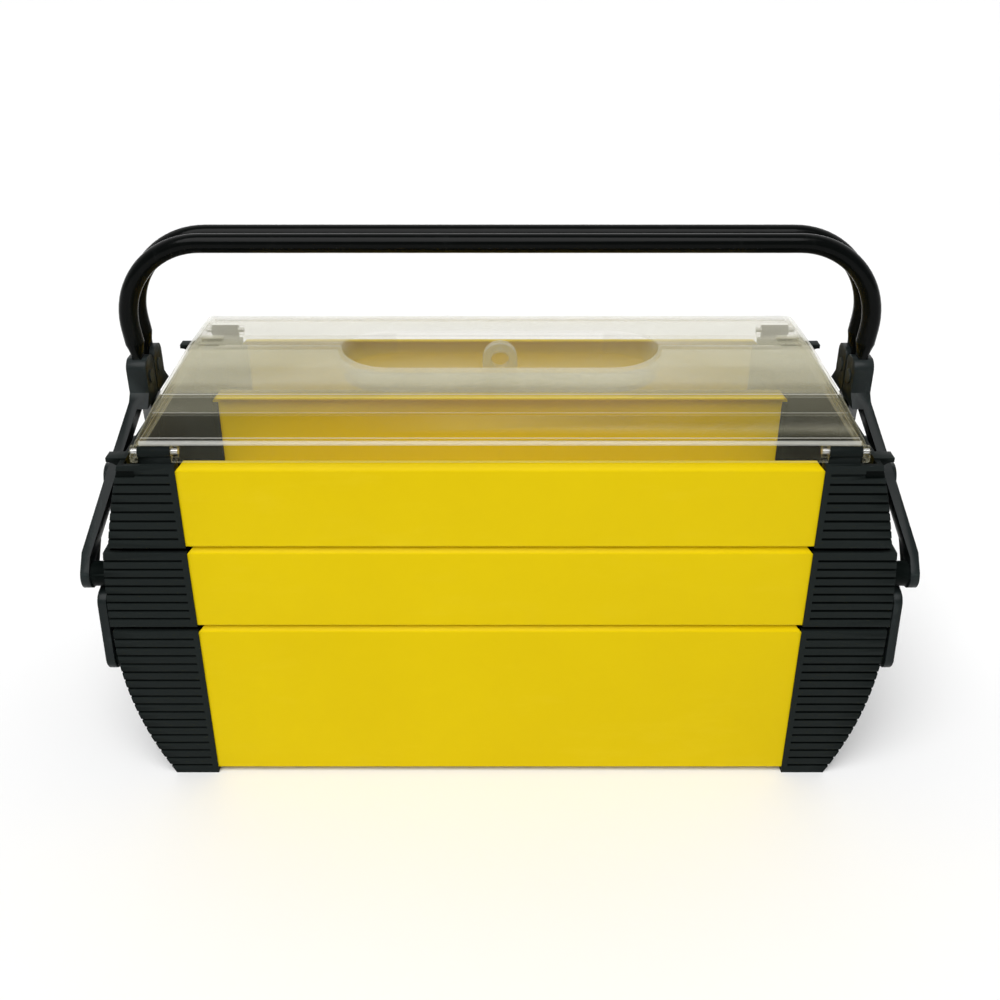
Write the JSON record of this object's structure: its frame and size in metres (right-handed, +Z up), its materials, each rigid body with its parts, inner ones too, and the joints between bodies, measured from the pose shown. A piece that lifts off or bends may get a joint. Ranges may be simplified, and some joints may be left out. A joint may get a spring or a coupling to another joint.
{
  "type": "cantilever toolbox",
  "caption": "Cantilever toolbox with tray stages that swing out on links, clear hinged lids and twin tubular bail handles.",
  "frame": {"origin": "centre of the footprint, at the end caps' feet", "axes": "+X along the length, +Y towards the rear lid's hinge, +Z up"},
  "size_m": [0.459, 0.186, 0.3024],
  "materials": {
    "yellow_paint": "satin",
    "black_plastic": "matte",
    "clear_plastic": "gloss",
    "gloss_black_paint": "gloss",
    "black_link": "satin",
    "black_rivet": "satin",
    "pin_steel": "satin"
  },
  "bodies": {
    "bottom_tray": {"bottom_tray_sheet": "yellow_paint", "bottom_end_cap_left": "black_plastic", "bottom_end_cap_right": "black_plastic", "bottom_tray_rivets": "black_rivet"},
    "front_long_links": {"front_long_link_left": "black_link", "front_long_link_right": "black_link"},
    "front_short_links": {"front_short_link_left": "black_link", "front_short_link_right": "black_link"},
    "front_middle_tray": {"front_middle_tray_sheet": "yellow_paint", "front_middle_end_cap_left": "black_plastic", "front_middle_end_cap_right": "black_plastic", "front_middle_tray_rivets": "black_rivet"},
    "front_top_tray": {"front_top_tray_sheet": "yellow_paint", "front_top_end_cap_left": "black_plastic", "front_top_end_cap_right": "black_plastic", "front_top_tray_rivets": "black_rivet", "front_hinge_pins": "pin_steel"},
    "front_handle": {"front_handle_arm_left": "black_link", "front_handle_arm_right": "black_link", "front_handle_tube": "gloss_black_paint", "front_handle_rivets": "black_rivet"},
    "front_lid": {"front_lid": "clear_plastic"},
    "rear_long_links": {"rear_long_link_left": "black_link", "rear_long_link_right": "black_link"},
    "rear_short_links": {"rear_short_link_left": "black_link", "rear_short_link_right": "black_link"},
    "rear_middle_tray": {"rear_middle_tray_sheet": "yellow_paint", "rear_middle_end_cap_left": "black_plastic", "rear_middle_end_cap_right": "black_plastic", "rear_middle_tray_rivets": "black_rivet"},
    "rear_top_tray": {"rear_top_tray_sheet": "yellow_paint", "rear_top_end_cap_left": "black_plastic", "rear_top_end_cap_right": "black_plastic", "rear_top_tray_rivets": "black_rivet", "rear_hinge_pins": "pin_steel"},
    "rear_handle": {"rear_handle_arm_left": "black_link", "rear_handle_arm_right": "black_link", "rear_handle_tube": "gloss_black_paint", "rear_handle_rivets": "black_rivet"},
    "rear_lid": {"rear_lid": "clear_plastic"}
  },
  "joints": [
    {"name": "front_open", "type": "hinge", "parent": "bottom_tray", "child": "front_long_links", "pos_m": [0, -0.0835, 0.081], "axis": [1, 0, 0], "range_deg": [0, 80]},
    {"name": "front_short_link_swing", "type": "hinge", "parent": "bottom_tray", "child": "front_short_links", "pos_m": [0, -0.0455, 0.081], "axis": [1, 0, 0], "range_deg": [0, 80]},
    {"name": "front_middle_tray_level", "type": "hinge", "parent": "front_long_links", "child": "front_middle_tray", "pos_m": [0, -0.0455, 0.1235], "axis": [1, 0, 0], "range_deg": [-80, 0]},
    {"name": "front_top_tray_level", "type": "hinge", "parent": "front_long_links", "child": "front_top_tray", "pos_m": [0, -0.0095, 0.1655], "axis": [1, 0, 0], "range_deg": [-80, 0]},
    {"name": "front_handle_swing", "type": "hinge", "parent": "front_top_tray", "child": "front_handle", "pos_m": [0, -0.044, 0.1741], "axis": [1, 0, 0], "range_deg": [0, 80]},
    {"name": "front_lid_hinge", "type": "hinge", "parent": "front_top_tray", "child": "front_lid", "pos_m": [0, -0.0888, 0.2116], "axis": [1, 0, 0], "range_deg": [0, 105]},
    {"name": "rear_open", "type": "hinge", "parent": "bottom_tray", "child": "rear_long_links", "pos_m": [0, 0.0835, 0.081], "axis": [-1, 0, 0], "range_deg": [0, 80]},
    {"name": "rear_short_link_swing", "type": "hinge", "parent": "bottom_tray", "child": "rear_short_links", "pos_m": [0, 0.0455, 0.081], "axis": [-1, 0, 0], "range_deg": [0, 80]},
    {"name": "rear_middle_tray_level", "type": "hinge", "parent": "rear_long_links", "child": "rear_middle_tray", "pos_m": [0, 0.0455, 0.1235], "axis": [-1, 0, 0], "range_deg": [-80, 0]},
    {"name": "rear_top_tray_level", "type": "hinge", "parent": "rear_long_links", "child": "rear_top_tray", "pos_m": [0, 0.0095, 0.1655], "axis": [-1, 0, 0], "range_deg": [-80, 0]},
    {"name": "rear_handle_swing", "type": "hinge", "parent": "rear_top_tray", "child": "rear_handle", "pos_m": [0, 0.044, 0.1741], "axis": [-1, 0, 0], "range_deg": [0, 80]},
    {"name": "rear_lid_hinge", "type": "hinge", "parent": "rear_top_tray", "child": "rear_lid", "pos_m": [0, 0.0888, 0.2116], "axis": [-1, 0, 0], "range_deg": [0, 105]}
  ],
  "couplings": [
    {"joint": "front_short_link_swing", "follows": "front_open", "ratio": 1},
    {"joint": "front_middle_tray_level", "follows": "front_open", "ratio": -1},
    {"joint": "front_top_tray_level", "follows": "front_open", "ratio": -1},
    {"joint": "front_handle_swing", "follows": "front_open", "ratio": 1},
    {"joint": "rear_short_link_swing", "follows": "rear_open", "ratio": 1},
    {"joint": "rear_middle_tray_level", "follows": "rear_open", "ratio": -1},
    {"joint": "rear_top_tray_level", "follows": "rear_open", "ratio": -1},
    {"joint": "rear_handle_swing", "follows": "rear_open", "ratio": 1}
  ]
}
